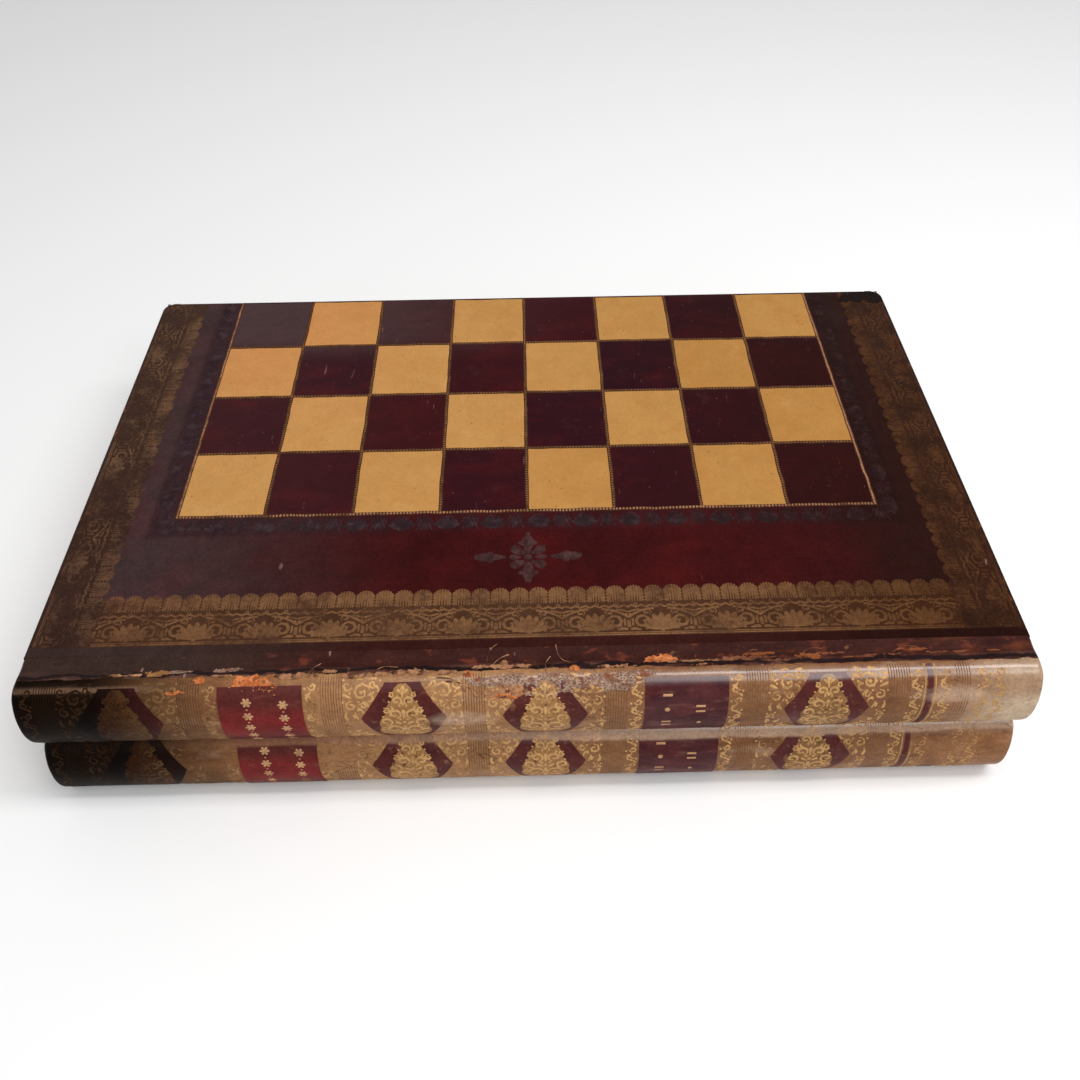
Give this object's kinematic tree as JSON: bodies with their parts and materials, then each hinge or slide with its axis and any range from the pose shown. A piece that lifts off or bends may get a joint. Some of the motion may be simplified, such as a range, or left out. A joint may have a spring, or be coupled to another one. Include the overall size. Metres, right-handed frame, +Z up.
{
  "type": "folding games board",
  "caption": "Folding chess and backgammon board bound in leather as two folio volumes, hinged along the fore edge.",
  "frame": {"origin": "under the middle of the closed box, on the surface it lies on", "axes": "+Z up through the closed box, +X along the spines to the tail end (right when the spines face the viewer), +Y from the spines to the hinged fore edges"},
  "size_m": [0.43, 0.2716, 0.08],
  "materials": {
    "board_wood": "bare pine, oiled by age",
    "page_block": "wood grooved and gilded to look like page edges, rubbed",
    "cover_leather": "worn crimson and brown calf, blind and gilt tooled",
    "spine_leather": "worn brown calf, fully gilt",
    "light_square_leather": "tan calf, waxed and crazed",
    "dark_square_leather": "dark maroon calf, waxed",
    "title_label_leather": "red morocco",
    "number_label_leather": "dark maroon morocco",
    "rim_leather": "dark brown calf over wood",
    "table_lining": "dark green leather",
    "wall_lining": "dark green leather",
    "light_point_leather": "cream leather",
    "dark_point_leather": "red leather",
    "hinge_brass": "aged brass"
  },
  "bodies": {
    "lower_volume": {"lower_cover_board": "board_wood", "lower_cover_leather": "cover_leather", "lower_light_squares": "light_square_leather", "lower_dark_squares": "dark_square_leather", "lower_spine_block": "board_wood", "lower_spine_leather": "spine_leather", "lower_title_label": "title_label_leather", "lower_number_label": "number_label_leather", "lower_head_wall": "page_block", "lower_tail_wall": "page_block", "lower_fore_edge_rail": "page_block", "lower_rim_head": "rim_leather", "lower_rim_tail": "rim_leather", "lower_rim_spine": "rim_leather", "lower_rim_fore_edge": "rim_leather", "lower_table_lining": "table_lining", "lower_wall_lining": "wall_lining", "lower_light_points": "light_point_leather", "lower_dark_points": "dark_point_leather", "lower_hinge_screws": "hinge_brass", "lower_leaf_left": "hinge_brass", "lower_leaf_right": "hinge_brass", "hinge_pin_left": "hinge_brass", "hinge_pin_right": "hinge_brass"},
    "upper_volume": {"upper_cover_board": "board_wood", "upper_cover_leather": "cover_leather", "upper_light_squares": "light_square_leather", "upper_dark_squares": "dark_square_leather", "upper_spine_block": "board_wood", "upper_spine_leather": "spine_leather", "upper_title_label": "title_label_leather", "upper_number_label": "number_label_leather", "upper_head_wall": "page_block", "upper_tail_wall": "page_block", "upper_fore_edge_rail": "page_block", "upper_rim_head": "rim_leather", "upper_rim_tail": "rim_leather", "upper_rim_spine": "rim_leather", "upper_rim_fore_edge": "rim_leather", "upper_table_lining": "table_lining", "upper_wall_lining": "wall_lining", "upper_light_points": "light_point_leather", "upper_dark_points": "dark_point_leather", "upper_hinge_screws": "hinge_brass", "upper_leaf_left": "hinge_brass", "upper_leaf_right": "hinge_brass"}
  },
  "joints": [
    {"name": "lid_hinge", "type": "hinge", "parent": "lower_volume", "child": "upper_volume", "pos_m": [0, 0.13328, 0.04], "axis": [-1, 0, 0], "range_deg": [0, 180]}
  ]
}
